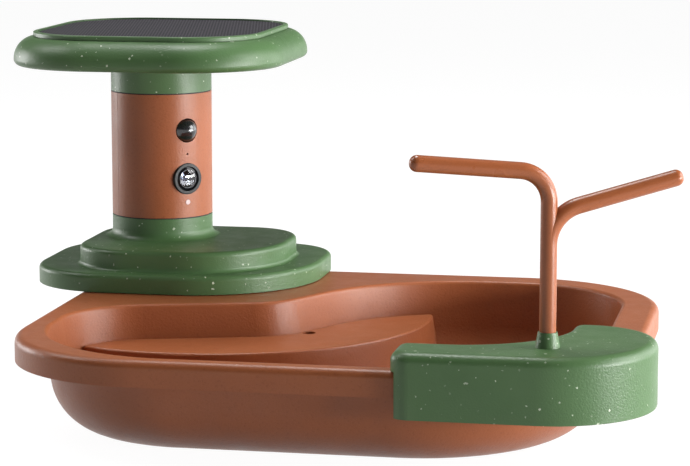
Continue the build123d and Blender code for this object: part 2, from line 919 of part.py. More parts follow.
# Battery in the foot: a shallow tray and two cells side by side
cells_x = tower_x + cells_from_axis_x
cells_y = tower_y + cells_from_axis_y
tray_length = cell_length + body_gap
tray_width = cell_pitch + cell_diameter + body_gap
with BuildPart() as battery_tray:
    with BuildSketch(Plane((cells_x, cells_y, foot_floor))):
        Rectangle(tray_length + 2 * tray_wall, tray_width + 2 * tray_wall)
    extrude(amount=tray_height)
    with BuildSketch(Plane((cells_x, cells_y, foot_floor + tray_wall))):
        Rectangle(tray_length, tray_width)
    extrude(amount=tray_height - tray_wall, mode=Mode.SUBTRACT)
write(battery_tray, "battery_tray")

with BuildPart() as battery_cells:
    with BuildSketch(Plane.YZ.offset(cells_x)):
        with Locations((cells_y, foot_floor + tray_wall + cell_diameter / 2)):
            with GridLocations(cell_pitch, 0, 2, 1):
                Circle(cell_diameter / 2)
    extrude(amount=cell_length / 2, both=True)
write(battery_cells, "battery_cells")

# Charging socket on its board, behind an upward-opening cover on a pin
with BuildPart() as charge_board:
    with BuildSketch(Plane((socket_x, charge_board_y, board_level))):
        Rectangle(charge_board_width, charge_board_depth)
    extrude(amount=board_thickness)
    with BuildSketch(Plane((socket_x, charge_board_y - charge_board_depth / 4, board_top))):
        Rectangle(socket_width, socket_height)
    extrude(amount=chip_height)
write(charge_board, "charge_board")

with BuildPart() as charge_socket:
    with BuildSketch(Plane.XZ.offset(-foot_back_y + socket_recess)):
        with Locations((socket_x, socket_level)):
            RectangleRounded(socket_width, socket_height, socket_height * socket_round_share)
    extrude(amount=socket_depth)
    with BuildSketch(Plane.XZ.offset(-foot_back_y + socket_recess)):
        with Locations((socket_x, socket_level)):
            RectangleRounded(
                socket_width - 2 * socket_wall,
                socket_height - 2 * socket_wall,
                (socket_height - 2 * socket_wall) * socket_round_share,
            )
    extrude(amount=socket_depth - socket_wall, mode=Mode.SUBTRACT)
    with BuildSketch(Plane.XZ.offset(-foot_back_y + socket_recess + socket_depth)):
        with Locations((socket_x, socket_level)):
            Rectangle(socket_width - 4 * socket_wall, socket_wall * 2)
    extrude(amount=-socket_depth + socket_wall)
write(charge_socket, "charge_socket")

with BuildPart() as cover_pin:
    with BuildSketch(Plane.YZ.offset(socket_x)):
        with Locations((cover_pin_y, cover_pin_level)):
            Circle(cover_pin_diameter / 2)
    extrude(amount=cover_pin_length / 2, both=True)
write(cover_pin, "cover_pin")

cover_plane = Plane.YZ.offset(socket_x)
cover_span = cover_pin_length - 2 * cover_ear - 2 * screw_gap
with BuildPart() as socket_cover:
    with BuildSketch(cover_plane):
        with Locations((cover_pin_y, cover_pin_level)):
            Circle(cover_knuckle_diameter / 2)
        with Locations((cover_pin_y, cover_pin_level - cover_drop / 2)):
            Rectangle(cover_knuckle_diameter, cover_drop)
        with Locations((cover_pin_y, cover_pin_level)):
            Circle(cover_pin_diameter / 2 + running_gap, mode=Mode.SUBTRACT)
    extrude(amount=cover_span / 2, both=True)
    fillet(socket_cover.edges().group_by(Axis.Z)[0].filter_by(Axis.Z, reverse=True), cover_round)
write(socket_cover, "socket_cover")

# Power button in the foot's back wall, with the switch that it presses
button_plane = Plane.XZ.offset(-foot_back_y)
flange_front = foot_wall + cut_gap
button_inner = flange_front + button_flange
with BuildPart() as power_button:
    with BuildSketch(button_plane.offset(-button_proud)):
        with Locations((button_x, button_level)):
            Circle(button_diameter / 2)
    extrude(amount=button_proud + button_inner)
    fillet(power_button.edges().group_by(Axis.Y)[-1], button_proud / 2)
    with BuildSketch(button_plane.offset(flange_front)):
        with Locations((button_x, button_level)):
            Circle(button_flange_diameter / 2)
    extrude(amount=button_flange)
write(power_button, "power_button")

switch_front = button_inner + button_travel + cut_gap
with BuildPart() as button_switch:
    with BuildSketch(button_plane.offset(switch_front)):
        with Locations((button_x, button_level)):
            Circle(button_diameter / 3)
    extrude(amount=button_flange)
    with BuildSketch(button_plane.offset(switch_front + button_flange / 2)):
        with Locations((button_x, button_level)):
            Rectangle(button_flange_diameter, button_diameter)
    extrude(amount=button_flange)
write(button_switch, "button_switch")

with BuildPart() as button_board:
    with BuildSketch(button_plane.offset(switch_front + button_flange * 3 / 2)):
        with Locations((button_x, button_level)):
            Rectangle(2 * button_flange_diameter, lower_ceiling - foot_floor)
    extrude(amount=board_thickness)
write(button_board, "button_board")

# Dark seam rings between the sleeve and the two necks, each with a lip inside the sleeve
with BuildPart() as lower_seam_ring:
    with BuildSketch(tower_plane(lower_seam)):
        Circle(column_radius - seam_inset)
        Circle(bore_radius - column_wall, mode=Mode.SUBTRACT)
    extrude(amount=seam_height)
    with BuildSketch(tower_plane(lower_seam + seam_height)):
        Circle(bore_radius - sleeve_gap)
        Circle(bore_radius - column_wall, mode=Mode.SUBTRACT)
    extrude(amount=seam_lip)
write(lower_seam_ring, "lower_seam_ring")

with BuildPart() as upper_seam_ring:
    with BuildSketch(tower_plane(upper_seam)):
        Circle(column_radius - seam_inset)
        Circle(bore_radius - column_wall, mode=Mode.SUBTRACT)
    extrude(amount=-seam_height)
    with BuildSketch(tower_plane(upper_seam - seam_height)):
        Circle(bore_radius - sleeve_gap)
        Circle(bore_radius - column_wall, mode=Mode.SUBTRACT)
    extrude(amount=-seam_lip)
write(upper_seam_ring, "upper_seam_ring")

# Column sleeve in two halves, the front one with the openings for lens, sensor, microphone and light
with BuildPart() as sleeve_front:
    add(half_sleeve(1))
    for height, diameter in (
        (lens_height, bezel_diameter + 2 * cut_gap),
        (sensor_height, dome_diameter + 2 * cut_gap),
        (mic_height, mic_hole_diameter),
        (light_height, light_diameter + 2 * cut_gap),
    ):
        with BuildSketch(face_plane(height, 0)):
            Circle(diameter / 2)
        extrude(amount=column_diameter, mode=Mode.SUBTRACT)
write(sleeve_front, "sleeve_front")

with BuildPart() as sleeve_back:
    add(half_sleeve(-1))
write(sleeve_back, "sleeve_back")

# Chassis: two discs joined by a plate, with posts for the boards
front_board_middle = boards_bottom + front_board_height / 2
main_board_middle = boards_bottom + main_board_height / 2
front_board_face = front_board_at + board_thickness
with BuildPart() as chassis:
    for level in (lower_disc, upper_disc):
        with BuildSketch(tower_plane(level)):
            Circle(bore_radius - disc_gap)
        extrude(amount=disc_thickness)
    with BuildSketch(face_plane((lower_disc + upper_disc + disc_thickness) / 2, plate_back)):
        Rectangle(plate_width, upper_disc - lower_disc)
    extrude(amount=plate_front - plate_back)
    with BuildSketch(face_plane(front_board_middle, plate_front)):
        with GridLocations(front_board_width - 2 * post_inset, front_board_height - 2 * post_inset, 2, 2):
            Circle(post_diameter / 2)
    extrude(amount=front_board_at - plate_front)
    with BuildSketch(face_plane(main_board_middle, plate_back, -1)):
        with GridLocations(main_board_width - 2 * post_inset, main_board_height - 2 * post_inset, 2, 2):
            Circle(post_diameter / 2)
    extrude(amount=plate_back - main_board_at)
    with BuildSketch(face_plane(front_board_middle, front_board_at)):
        with GridLocations(front_board_width - 2 * post_inset, front_board_height - 2 * post_inset, 2, 2):
            Circle(small_screw_diameter / 2 + screw_gap)
    extrude(amount=plate_front - front_board_at, mode=Mode.SUBTRACT)
    with BuildSketch(face_plane(main_board_middle, main_board_at, -1)):
        with GridLocations(main_board_width - 2 * post_inset, main_board_height - 2 * post_inset, 2, 2):
            Circle(small_screw_diameter / 2 + screw_gap)
    extrude(amount=main_board_at - plate_back, mode=Mode.SUBTRACT)
    with BuildSketch(tower_plane(lower_disc)):
        with PolarLocations(column_screw_ring_radius, column_screws_each, column_screw_angle):
            Circle(small_screw_diameter / 2 + screw_gap)
        with PolarLocations(wire_hole_ring_radius, 1, lens_heading + 180):
            Circle(wire_hole_diameter / 2)
    extrude(amount=upper_disc + disc_thickness - lower_disc, mode=Mode.SUBTRACT)
write(chassis, "chassis")

# Screws that join the chassis to the foot and to the roof, three at each end
ring_turns = [
    radians(column_screw_angle + 360 * step / column_screws_each) for step in range(column_screws_each)
]
ring_places = [
    (tower_x + column_screw_ring_radius * cos(turn), tower_y + column_screw_ring_radius * sin(turn))
    for turn in ring_turns
]
lower_disc_top = lower_disc + disc_thickness
roof_floor = roof_underside + roof_wall
column_screws = [
    screw(Plane((x, y, lower_disc_top)), small_screw_diameter, small_screw_head, column_screw_length)
    for x, y in ring_places
]
write_group(column_screws, "column_screws")
neck_screws = [
    screw(Plane((x, y, roof_floor)), small_screw_diameter, small_screw_head, neck_screw_length)
    for x, y in ring_places
]
write_group(neck_screws, "neck_screws")

# Front board, main board and their screws
with BuildPart() as front_board:
    with BuildSketch(face_plane(front_board_middle, front_board_at)):
        Rectangle(front_board_width, front_board_height)
        with GridLocations(front_board_width - 2 * post_inset, front_board_height - 2 * post_inset, 2, 2):
            Circle(small_screw_diameter / 2 + screw_gap, mode=Mode.SUBTRACT)
    extrude(amount=board_thickness)
write(front_board, "front_board")

main_board_face = main_board_at - board_thickness
with BuildPart() as main_board:
    with BuildSketch(face_plane(main_board_middle, main_board_at, -1)):
        Rectangle(main_board_width, main_board_height)
        with GridLocations(main_board_width - 2 * post_inset, main_board_height - 2 * post_inset, 2, 2):
            Circle(small_screw_diameter / 2 + screw_gap, mode=Mode.SUBTRACT)
    extrude(amount=board_thickness)
    with BuildSketch(face_plane(main_board_middle, main_board_face, -1)):
        with Locations((0, main_board_height / 4)):
            Rectangle(main_board_width * chip_share, main_board_width * chip_share)
        with Locations((0, -main_board_height / 6)):
            Rectangle(main_board_width * chip_share, main_board_width * chip_share / 2)
    extrude(amount=chip_height)
write(main_board, "main_board")

board_screw_planes = board_corners(
    face_plane(front_board_middle, front_board_face), front_board_width, front_board_height
) + board_corners(face_plane(main_board_middle, main_board_face, -1), main_board_width, main_board_height)
board_screws = [
    screw(plane, small_screw_diameter, small_screw_head, board_screw_length) for plane in board_screw_planes
]
write_group(board_screws, "board_screws")

with BuildPart() as antenna:
    with BuildSketch(face_plane(upper_disc - antenna_width, plate_front)):
        Rectangle(antenna_length, antenna_width)
    extrude(amount=antenna_thickness)
write(antenna, "antenna")

# Camera: sensor, barrel and glass element, then the bezel in the sleeve and its window
with BuildPart() as image_sensor:
    with BuildSketch(face_plane(lens_height, front_board_face)):
        Rectangle(image_sensor_width, image_sensor_width)
    extrude(amount=image_sensor_height)
write(image_sensor, "image_sensor")

barrel_front = front_board_face + barrel_length
element_seat = barrel_front - element_seat_depth
cavity_end = front_board_face + barrel_cavity_depth
with BuildPart() as camera_barrel:
    with BuildSketch(face_plane(lens_height, front_board_face)):
        Circle(barrel_base_diameter / 2)
    extrude(amount=barrel_base_length)
    with BuildSketch(face_plane(lens_height, front_board_face)):
        Circle(barrel_diameter / 2)
    extrude(amount=barrel_length)
    with BuildSketch(face_plane(lens_height, front_board_face)):
        Circle(barrel_cavity_diameter / 2)
    extrude(amount=barrel_cavity_depth, mode=Mode.SUBTRACT)
    with BuildSketch(face_plane(lens_height, cavity_end)):
        Circle(barrel_bore_back / 2)
    with BuildSketch(face_plane(lens_height, element_seat)):
        Circle(barrel_bore_front / 2)
    loft(mode=Mode.SUBTRACT)
    with BuildSketch(face_plane(lens_height, element_seat)):
        Circle(element_diameter / 2)
    extrude(amount=element_seat_depth, mode=Mode.SUBTRACT)
write(camera_barrel, "camera_barrel")

with BuildPart() as camera_element:
    add(
        domed_rod(
            face_plane(lens_height, element_seat),
            element_diameter / 2 - cut_gap,
            element_length,
            element_rise,
        )
    )
write(camera_element, "camera_element")

bezel_front = column_radius + bezel_proud
lens_axis = Axis(face_plane(lens_height, 0).origin, face_plane(lens_height, 0).z_dir)
with BuildPart() as lens_bezel:
    with BuildSketch(face_plane(lens_height, bezel_back)):
        Circle(bezel_diameter / 2)
    extrude(amount=bezel_front - bezel_back)
    fillet(lens_bezel.edges().group_by(lens_axis)[-1], bezel_round)
    with BuildSketch(face_plane(lens_height, bezel_back + bezel_flange_lift)):
        Circle(bezel_flange_diameter / 2)
    extrude(amount=bezel_flange)
    with BuildSketch(face_plane(lens_height, bezel_back)):
        Circle(barrel_diameter / 2 + cut_gap)
    extrude(amount=bezel_front - bezel_back, mode=Mode.SUBTRACT)
    with BuildSketch(face_plane(lens_height, bezel_front)):
        Circle(window_diameter / 2 + cut_gap)
    extrude(amount=-window_thickness - window_recess, mode=Mode.SUBTRACT)
write(lens_bezel, "lens_bezel")

window_back = bezel_front - window_recess - window_thickness
with BuildPart() as lens_window:
    add(domed_rod(face_plane(lens_height, window_back), window_diameter / 2, window_thickness, window_rise))
write(lens_window, "lens_window")

# Movement sensor behind its hollow dome
dome_plane = face_plane(sensor_height, dome_flange_back)
dome_rise = column_radius + dome_proud - dome_cap_base
with BuildPart() as pir_dome:
    add(domed_rod(dome_plane, dome_diameter / 2, dome_cap_base - dome_flange_back, dome_rise))
    with BuildSketch(dome_plane):
        Circle(dome_flange_diameter / 2)
    extrude(amount=dome_flange)
    add(
        domed_rod(
            dome_plane, dome_diameter / 2 - dome_wall, dome_cap_base - dome_flange_back, dome_rise - dome_wall
        ),
        mode=Mode.SUBTRACT,
    )
write(pir_dome, "pir_dome")

with BuildPart() as pir_sensor:
    with BuildSketch(face_plane(sensor_height, front_board_face)):
        Circle(riser_diameter / 2)
    extrude(amount=riser_height)
    with BuildSketch(face_plane(sensor_height, front_board_face + riser_height)):
        Circle(can_diameter / 2)
    extrude(amount=can_height)
write(pir_sensor, "pir_sensor")

# Microphone with its rubber boot, and the status light with its pipe
with BuildPart() as microphone:
    with BuildSketch(face_plane(mic_height, front_board_face)):
        Rectangle(mic_width, mic_width)
    extrude(amount=mic_thickness)
write(microphone, "microphone")

with BuildPart() as mic_boot:
    with BuildSketch(face_plane(mic_height, front_board_face + mic_thickness)):
        Circle(mic_boot_diameter / 2)
        Circle(mic_hole_diameter / 2, mode=Mode.SUBTRACT)
    extrude(amount=mic_boot_end - front_board_face - mic_thickness)
write(mic_boot, "mic_boot")

with BuildPart() as status_led:
    with BuildSketch(face_plane(light_height, front_board_face)):
        Rectangle(status_led_width, status_led_width)
    extrude(amount=status_led_thickness)
write(status_led, "status_led")

pipe_start = front_board_face + status_led_thickness + light_pipe_gap
with BuildPart() as light_pipe:
    with BuildSketch(face_plane(light_height, pipe_start)):
        Circle(light_diameter / 2)
    extrude(amount=column_radius + light_proud - pipe_start)
write(light_pipe, "light_pipe")

# Roof: the hollow slab with the upper neck and its shoulder
lid_screw_places = [
    (x, y) for x in (-lid_screw_x, lid_screw_x) for y in (-lid_screw_y, lid_screw_y)
]
lid_boss_top = roof_floor + lid_boss_height
upper_disc_top = upper_disc + disc_thickness
with BuildPart() as roof_base:
    add(roof_form(0))
    with BuildSketch(tower_plane(upper_seam)):
        Circle(column_radius)
    extrude(amount=roof_underside - upper_seam)
    add(roof_form(roof_wall), mode=Mode.SUBTRACT)
    with BuildSketch(tower_plane(upper_seam)):
        Circle(bore_radius)
    extrude(amount=upper_disc_top - upper_seam, mode=Mode.SUBTRACT)
    with BuildSketch(tower_plane(upper_disc_top)):
        Circle(shoulder_inner_radius)
        with PolarLocations(column_screw_ring_radius, column_screws_each, column_screw_angle):
            Circle(small_screw_diameter / 2 + screw_gap)
    extrude(amount=roof_floor - upper_disc_top, mode=Mode.SUBTRACT)
    with BuildSketch(roof_plane(roof_floor)):
        with Locations(*lid_screw_places):
            Circle(lid_post_diameter / 2)
    extrude(amount=lid_boss_height)
    with BuildSketch(roof_plane(roof_underside)):
        with Locations(*lid_screw_places):
            Circle(plate_screw_diameter / 2 + screw_gap)
    extrude(amount=lid_boss_top - roof_underside, mode=Mode.SUBTRACT)
    with BuildSketch(roof_plane(roof_underside)):
        with Locations(*lid_screw_places):
            Circle(plate_screw_diameter * screw_head_share / 2 + plate_gap)
    extrude(amount=plate_screw_head + screw_gap, mode=Mode.SUBTRACT)
    with BuildSketch(roof_plane(roof_top)):
        add(lid_outline(lid_spigot_from_lip - body_gap))
    extrude(amount=-roof_wall, mode=Mode.SUBTRACT)
    with BuildSketch(roof_plane(roof_top)):
        add(lid_outline(gasket_from_lip))
        add(lid_outline(gasket_from_lip + gasket_width), mode=Mode.SUBTRACT)
    extrude(amount=-gasket_depth, mode=Mode.SUBTRACT)
write(roof_base, "roof_base")

with BuildPart() as roof_gasket:
    with BuildSketch(roof_plane(roof_top)):
        add(lid_outline(gasket_from_lip))
        add(lid_outline(gasket_from_lip + gasket_width), mode=Mode.SUBTRACT)
    extrude(amount=-gasket_depth)
write(roof_gasket, "roof_gasket")

# Lid: a lip round the panel's recess, a spigot into the roof and four posts for the screws
lid_top = roof_top + lid_reveal_height + lid_lip_height
panel_floor = roof_top + lid_seat_height
with BuildPart() as roof_lid:
    with BuildSketch(roof_plane(roof_top)):
        add(lid_outline(lid_reveal))
    extrude(amount=lid_reveal_height)
    with BuildSketch(roof_plane(roof_top + lid_reveal_height)):
        add(lid_outline(0))
    extrude(amount=lid_lip_height)
    fillet(roof_lid.edges().group_by(Axis.Z)[-1], lid_edge_round)
    with BuildSketch(roof_plane(panel_floor)):
        add(lid_outline(lid_lip_width))
    extrude(amount=lid_top - panel_floor, mode=Mode.SUBTRACT)
    with BuildSketch(roof_plane(roof_top)):
        add(lid_outline(lid_spigot_from_lip))
    extrude(amount=-lid_spigot_drop)
    with BuildSketch(roof_plane(roof_top - lid_spigot_drop)):
        add(lid_outline(lid_spigot_from_lip + lid_spigot_wall))
    extrude(amount=lid_spigot_drop + lid_seat_height - lid_plate, mode=Mode.SUBTRACT)
    with BuildSketch(roof_plane(roof_top)):
        with Locations(*lid_screw_places):
            Circle(lid_post_diameter / 2)
    extrude(amount=lid_boss_top - roof_top)
    with BuildSketch(roof_plane(lid_boss_top)):
        with Locations(*lid_screw_places):
            Circle(plate_screw_diameter / 2 + screw_gap)
    extrude(amount=lid_screw_length - lid_boss_height, mode=Mode.SUBTRACT)
write(roof_lid, "roof_lid")

roof_x = tower_x + roof_from_axis
roof_screw_seat = roof_underside + plate_screw_head + screw_gap
roof_screws = [
    screw(
        Plane((roof_x + x, tower_y + y, roof_screw_seat), z_dir=(0, 0, -1)),
        plate_screw_diameter,
        plate_screw_head,
        lid_screw_length,
    )
    for x, y in lid_screw_places
]
write_group(roof_screws, "roof_screws")

with BuildPart() as solar_panel:
    with BuildSketch(roof_plane(panel_floor)):
        add(lid_outline(lid_lip_width + panel_gap))
    extrude(amount=panel_thickness)
write(solar_panel, "solar_panel")
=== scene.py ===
"""Looks of the smart bird bath: materials, studio light and camera. Lengths are in metres."""

import json
from math import radians

import bpy
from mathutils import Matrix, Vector


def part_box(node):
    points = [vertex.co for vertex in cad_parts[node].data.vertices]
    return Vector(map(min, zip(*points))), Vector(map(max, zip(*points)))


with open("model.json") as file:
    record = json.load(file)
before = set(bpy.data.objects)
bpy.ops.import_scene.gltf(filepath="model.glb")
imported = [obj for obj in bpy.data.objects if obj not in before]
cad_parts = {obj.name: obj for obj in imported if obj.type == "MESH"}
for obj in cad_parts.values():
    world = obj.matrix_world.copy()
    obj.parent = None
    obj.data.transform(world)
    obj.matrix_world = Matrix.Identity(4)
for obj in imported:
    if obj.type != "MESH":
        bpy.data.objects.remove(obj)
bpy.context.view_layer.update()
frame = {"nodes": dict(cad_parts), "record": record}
nodes = frame["nodes"]


# Colours, linear

clay = (0.31, 0.088, 0.029)
clay_dark = (0.290, 0.080, 0.026)
clay_pale = (0.335, 0.096, 0.032)
clay_grain = (0.42, 0.145, 0.060)
# Painted shade: the colour laid into the hollows of the pebbled skin
clay_pit_shade = (0.21, 0.054, 0.017)
green = (0.070, 0.142, 0.052)
green_dark = (0.062, 0.130, 0.046)
green_pale = (0.078, 0.154, 0.058)
fleck = (0.60, 0.66, 0.52)
cell = (0.05, 0.047, 0.058)
cell_dark = ((0.007, 0.0065, 0.008), (0.013, 0.012, 0.015))
cell_mesh = ((0.050, 0.048, 0.056), (0.076, 0.071, 0.080))
window_clear = (0.9, 0.93, 1.0)
window_print = (0.006, 0.006, 0.007)
dome = (0.012, 0.012, 0.014)
dome_edge = (0.030, 0.030, 0.032)
dome_facet = (0.010, 0.010, 0.012)
coating = (0.010, 0.016, 0.045)
coating_dark = (0.004, 0.008, 0.030)
coating_pale = (0.045, 0.030, 0.110)
coating_tint = (0.55, 0.70, 1.0)
white = (1, 1, 1)


# Node helpers

noise_span = (0.3, 0.7)  # where most of a noise's values lie


def shader(name, color, roughness, **inputs):
    """A new material's Principled shader with plain numbers on its sockets."""
    material = bpy.data.materials.new(name)
    material.use_nodes = True
    bsdf = material.node_tree.nodes["Principled BSDF"]
    bsdf.inputs["Base Color"].default_value = (*color, 1)
    bsdf.inputs["Roughness"].default_value = roughness
    for key, value in inputs.items():
        bsdf.inputs[key.replace("_", " ")].default_value = value
    return material, bsdf


def add_node(material, kind, **settings):
    """A node with its settings and input values."""
    made = material.node_tree.nodes.new(kind)
    inputs = settings.pop("inputs", {})
    for key, value in settings.items():
        setattr(made, key, value)
    for key, value in inputs.items():
        made.inputs[key].default_value = value
    return made


def link(material, start, end):
    """Joins an output socket to an input socket."""
    material.node_tree.links.new(start, end)


def places(material, scale=(1, 1, 1), turn=(0, 0, 0)):
    """Object coordinates, scaled and turned."""
    coords = add_node(material, "ShaderNodeTexCoord")
    laid = {"Scale": scale, "Rotation": turn}
    mapping = add_node(material, "ShaderNodeMapping", inputs=laid)
    link(material, coords.outputs["Object"], mapping.inputs["Vector"])
    return mapping.outputs["Vector"]


def noise(material, vector, scale, detail=3.0, roughness=0.55):
    """A noise texture's value."""
    inputs = {"Scale": scale, "Detail": detail, "Roughness": roughness}
    made = add_node(material, "ShaderNodeTexNoise", inputs=inputs)
    link(material, vector, made.inputs["Vector"])
    return made.outputs["Fac"]


def ramp(material, value, low, high, start=0.0, end=1.0):
    """Maps low..high of a value to start..end."""
    inputs = {"From Min": low, "From Max": high, "To Min": start, "To Max": end}
    made = add_node(material, "ShaderNodeMapRange", clamp=True, inputs=inputs)
    link(material, value, made.inputs["Value"])
    return made.outputs["Result"]


def maths(material, operation, first, second):
    """A math node on two sockets or numbers."""
    made = add_node(material, "ShaderNodeMath", operation=operation)
    for socket, value in zip(made.inputs, (first, second)):
        if isinstance(value, (int, float)):
            socket.default_value = value
        else:
            link(material, value, socket)
    return made.outputs["Value"]


def mix(material, factor, first, second):
    """A colour between two colours or sockets."""
    made = add_node(material, "ShaderNodeMix", data_type="RGBA")
    colours = [s for s in made.inputs if s.type == "RGBA"]
    if isinstance(factor, (int, float)):
        made.inputs["Factor"].default_value = factor
    else:
        link(material, factor, made.inputs["Factor"])
    for socket, value in zip(colours, (first, second)):
        if isinstance(value, tuple):
            socket.default_value = (*value, 1)
        else:
            link(material, value, socket)
    return [s for s in made.outputs if s.type == "RGBA"][0]


def paint(material, bsdf, color):
    """Gives the shader a colour socket."""
    link(material, color, bsdf.inputs["Base Color"])


def wear(material, bsdf, scale, low, high):
    """Lets the roughness wander between two values over soft patches."""
    patches = noise(material, places(material), scale)
    rough = ramp(material, patches, *noise_span, low, high)
    link(material, rough, bsdf.inputs["Roughness"])


def bump(material, bsdf, height, distance, strength=1.0):
    """Bumps the shader by a height."""
    inputs = {"Strength": strength, "Distance": distance}
    made = add_node(material, "ShaderNodeBump", inputs=inputs)
    link(material, height, made.inputs["Height"])
    link(material, made.outputs["Normal"], bsdf.inputs["Normal"])


# Materials

plastic_gloss = 0.4
plastic_rough = 0.45


def terracotta(name, pebble=620, depth=0.00020, smooth=0.35, rough=0.44):
    """Matte clay-coloured plastic: a fine pebbled skin with painted shade in its hollows, over
    slight cloudy variation.
    """
    grain_scale, cloud_scale, patch_scale = 2600, 14, 60
    grain_share, pit_shade_share, grain_in_bump = 0.35, 0.4, 0.2
    material, bsdf = shader(name, clay, plastic_rough, Specular_IOR_Level=plastic_gloss)
    here = places(material)
    fine = noise(material, here, grain_scale, 2)
    wrinkle = noise(material, here, pebble, 2, 0.6)
    cloud = ramp(material, noise(material, here, cloud_scale, 4), *noise_span)
    tone = mix(material, cloud, clay_dark, clay_pale)
    tone = mix(material, ramp(material, fine, 0.4, 0.75, 0.0, grain_share), tone, clay_grain)
    # Painted shade: the low points of the pebble bump are darkened, standing in for shade in
    # the hollows
    tone = mix(material, ramp(material, wrinkle, 0.42, 0.3, 0.0, pit_shade_share), tone, clay_pit_shade)
    paint(material, bsdf, tone)
    wear(material, bsdf, patch_scale, smooth, rough)
    bump(material, bsdf, mix(material, grain_in_bump, wrinkle, fine), depth)
    return material


# Kinds of fleck: cells per metre, radius in cells, share of cells without one, stretch, turn
fleck_kinds = (
    (190, 0.13, 0.72, (1, 1, 1), (0, 0, 0)),
    (330, 0.16, 0.80, (1, 1, 1), (0.3, 0.5, 0)),
    (95, 0.045, 0.62, (0.45, 1, 1), (0.2, 0.4, 0.7)),
    (95, 0.045, 0.66, (1, 1, 0.4), (0.9, 0.1, 0.3)),
)


def fleck_mask(material, vector, scale, size, bare, stretch, turn):
    """One kind of fleck: spots of mixed sizes in some of the cells."""
    keep_edge, smallest, largest = 0.02, 0.5, 1.4
    inputs = {"Scale": scale, "Randomness": 1.0}
    cells = add_node(material, "ShaderNodeTexVoronoi", inputs=inputs)
    laid = add_node(material, "ShaderNodeMapping", inputs={"Scale": stretch, "Rotation": turn})
    link(material, vector, laid.inputs["Vector"])
    link(material, laid.outputs["Vector"], cells.inputs["Vector"])
    pick = add_node(material, "ShaderNodeSeparateColor")
    link(material, cells.outputs["Color"], pick.inputs["Color"])
    wanted = ramp(material, pick.outputs["Red"], bare, bare + keep_edge)
    chance = pick.outputs["Green"]
    reach = ramp(material, chance, 0.0, 1.0, size * smallest, size * largest)
    spot = maths(material, "LESS_THAN", cells.outputs["Distance"], reach)
    return maths(material, "MULTIPLY", spot, wanted)


def flecked_green(name):
    """Matte green plastic with sparse pale flecks and short streaks."""
    grain_scale, cloud_scale, patch_scale, crowd_scale = 800, 16, 70, 35
    ragged_scale, ragged_reach = 1400.0, 0.0012
    fewest, most = 0.15, 0.9
    material, bsdf = shader(name, green, plastic_rough, Specular_IOR_Level=plastic_gloss)
    here = places(material)
    fine = noise(material, here, grain_scale, 2)
    cloud = ramp(material, noise(material, here, cloud_scale, 4), *noise_span)
    tone = mix(material, cloud, green_dark, green_pale)

    inputs = {"Scale": ragged_scale, "Detail": 1.0}
    ragged = add_node(material, "ShaderNodeTexNoise", inputs=inputs)
    link(material, here, ragged.inputs["Vector"])
    shift = add_node(material, "ShaderNodeVectorMath", operation="MULTIPLY_ADD")
    link(material, ragged.outputs["Color"], shift.inputs[0])
    shift.inputs[1].default_value = (ragged_reach, ragged_reach, ragged_reach)
    link(material, here, shift.inputs[2])

    flecks = 0.0
    for kind in fleck_kinds:
        mask = fleck_mask(material, shift.outputs["Vector"], *kind)
        flecks = maths(material, "MAXIMUM", flecks, mask)
    crowd = ramp(material, noise(material, here, crowd_scale, 2), 0.42, 0.56)
    flecks = maths(material, "MULTIPLY", flecks, ramp(material, crowd, 0, 1, fewest, most))
    paint(material, bsdf, mix(material, flecks, tone, fleck))
    wear(material, bsdf, patch_scale, 0.35, 0.44)
    bump(material, bsdf, fine, 0.00017)
    return material


def moulded(name, color, roughness=0.5, grain=500, depth=0.00008, spread=0.25, **inputs):
    """Plain moulded plastic or rubber with a faint grain."""
    patch_scale, wear_spread = 90, 0.15
    material, bsdf = shader(name, color, roughness, **inputs)
    fine = noise(material, places(material), grain, 3)
    dark = tuple(value * (1 - spread) for value in color)
    pale = tuple(min(1.0, value * (1 + spread)) for value in color)
    paint(material, bsdf, mix(material, ramp(material, fine, *noise_span), dark, pale))
    low = roughness * (1 - wear_spread)
    high = min(1.0, roughness * (1 + wear_spread))
    wear(material, bsdf, patch_scale, low, high)
    bump(material, bsdf, fine, depth)
    return material


def brushed(name, color):
    """Metal with a fine brushed or turned surface."""
    streak_scale, streak_stretch, shade = 2500, (1, 1, 0.08), 0.85
    material, bsdf = shader(name, color, 0.3, Metallic=1.0)
    streaks = noise(material, places(material, streak_stretch), streak_scale, 2)
    rough = ramp(material, streaks, *noise_span, 0.22, 0.42)
    link(material, rough, bsdf.inputs["Roughness"])
    dark = tuple(value * shade for value in color)
    paint(material, bsdf, mix(material, streaks, dark, color))
    bump(material, bsdf, streaks, 0.00002)
    return material


def solar(name):
    """Dark cells under a fine pale mesh, with a satin cover."""
    pitch, slant, squeeze, speck_scale = 0.0015, radians(45), (1, 0.22, 1), 700
    material, bsdf = shader(name, cell, 0.8, Specular_IOR_Level=0.12)
    turned = places(material, squeeze, (0, 0, slant))
    split = add_node(material, "ShaderNodeSeparateXYZ")
    link(material, turned, split.inputs["Vector"])
    lines = []
    for axis in ("X", "Y"):
        wave = maths(material, "PINGPONG", split.outputs[axis], pitch / 2)
        lines.append(ramp(material, wave, 0.0, pitch / 2))
    weave = maths(material, "MULTIPLY", *lines)
    speck = ramp(material, noise(material, places(material), speck_scale, 2), *noise_span)
    dark = mix(material, speck, *cell_dark)
    pale = mix(material, speck, *cell_mesh)
    paint(material, bsdf, mix(material, ramp(material, weave, 0.12, 0.42), pale, dark))
    bump(material, bsdf, weave, 0.0002, 0.6)
    return material


